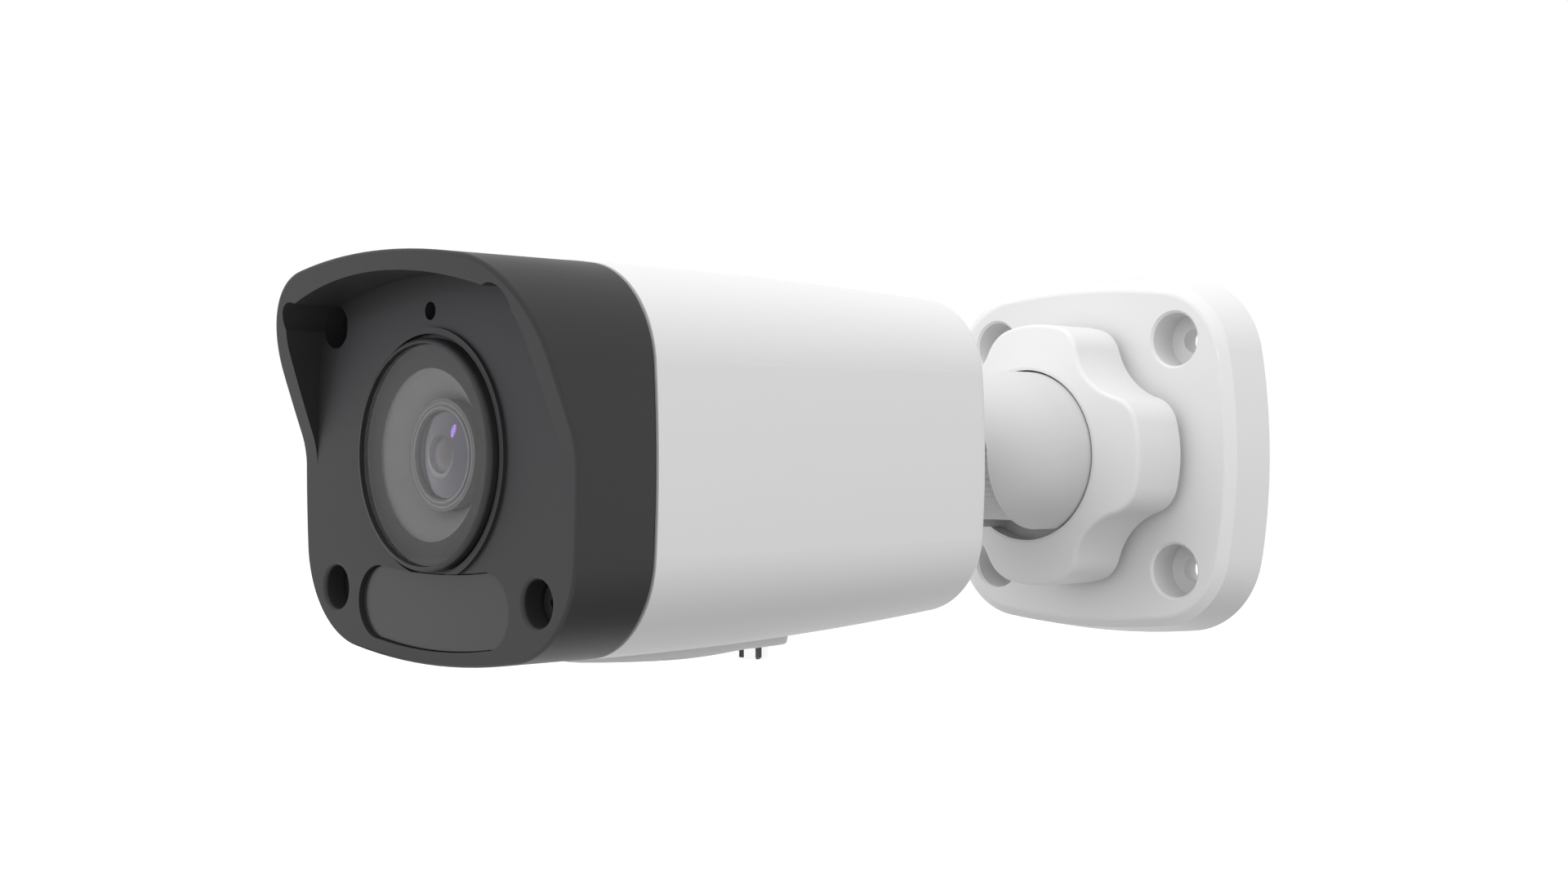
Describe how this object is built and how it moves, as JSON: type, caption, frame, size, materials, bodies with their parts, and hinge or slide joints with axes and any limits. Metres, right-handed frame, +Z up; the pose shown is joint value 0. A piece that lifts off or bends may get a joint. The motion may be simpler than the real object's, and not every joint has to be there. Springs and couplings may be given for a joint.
{
  "type": "security camera",
  "caption": "Bullet security camera with a visored dark face, on a wall bracket that pans, tilts and rolls and is clamped by a lobed locking ring.",
  "frame": {"origin": "centre of the wall plate's back face, at the centre of its four screw holes", "axes": "+Y into the wall along the camera's axis, +Z up, the camera looks along -Y"},
  "size_m": [0.0696, 0.1659, 0.0672],
  "materials": {
    "white_paint": "satin powder coat",
    "dark_plastic": "fine matte grain",
    "clear_glass": "polished",
    "ir_plastic": "smoked satin",
    "black_print": "printed",
    "black_rubber": "matte",
    "grey_rubber": "matte",
    "black_metal": "anodised black",
    "black_plastic": "matte",
    "green_board": "solder mask",
    "steel": "machined",
    "chrome": "polished",
    "cast_frame": "cast",
    "lamp_resin": "clear resin"
  },
  "bodies": {
    "base": {"wall_plate": "white_paint", "friction_washer": "black_rubber"},
    "ring": {"locking_ring": "white_paint"},
    "turret": {"turret_dome": "white_paint", "tilt_pins": "steel"},
    "arm": {"tilt_arm": "white_paint", "roll_nut": "steel", "roll_seal": "black_rubber", "cable_grommet": "black_rubber"},
    "camera": {"bezel_gasket": "black_rubber", "bezel_screws": "steel", "card_slot": "steel", "chassis": "cast_frame", "chassis_screws": "steel", "cover_gasket": "black_rubber", "cover_screw": "chrome", "front_bezel": "dark_plastic", "heat_pad": "black_rubber", "housing": "white_paint", "image_sensor": "black_plastic", "ir_board": "green_board", "ir_board_screws": "steel", "ir_leds": "lamp_resin", "ir_window": "ir_plastic", "lens_barrel": "black_metal", "lens_front_element": "clear_glass", "lens_holder": "black_plastic", "lens_shroud": "grey_rubber", "main_board": "green_board", "main_board_screws": "steel", "mic_seal": "black_rubber", "microphone": "steel", "processor": "black_plastic", "sensor_board": "green_board", "sensor_board_screws": "steel", "service_cover": "white_paint", "window_gasket": "black_rubber", "window_glass": "clear_glass", "window_mask": "black_print"}
  },
  "joints": [
    {"name": "ring_turn", "type": "hinge", "parent": "base", "child": "ring", "pos_m": [0, -0.02, 0], "axis": [0, -1, 0], "range_deg": [0, 90]},
    {"name": "pan", "type": "hinge", "parent": "base", "child": "turret", "pos_m": [0, -0.0326, 0], "axis": [0, -1, 0], "range_deg": [-180, 180]},
    {"name": "tilt", "type": "hinge", "parent": "turret", "child": "arm", "pos_m": [0, -0.0326, 0], "axis": [1, 0, 0], "range_deg": [0, 90]},
    {"name": "roll", "type": "hinge", "parent": "arm", "child": "camera", "pos_m": [0, -0.0732, 0], "axis": [0, -1, 0], "range_deg": [-180, 180]}
  ]
}
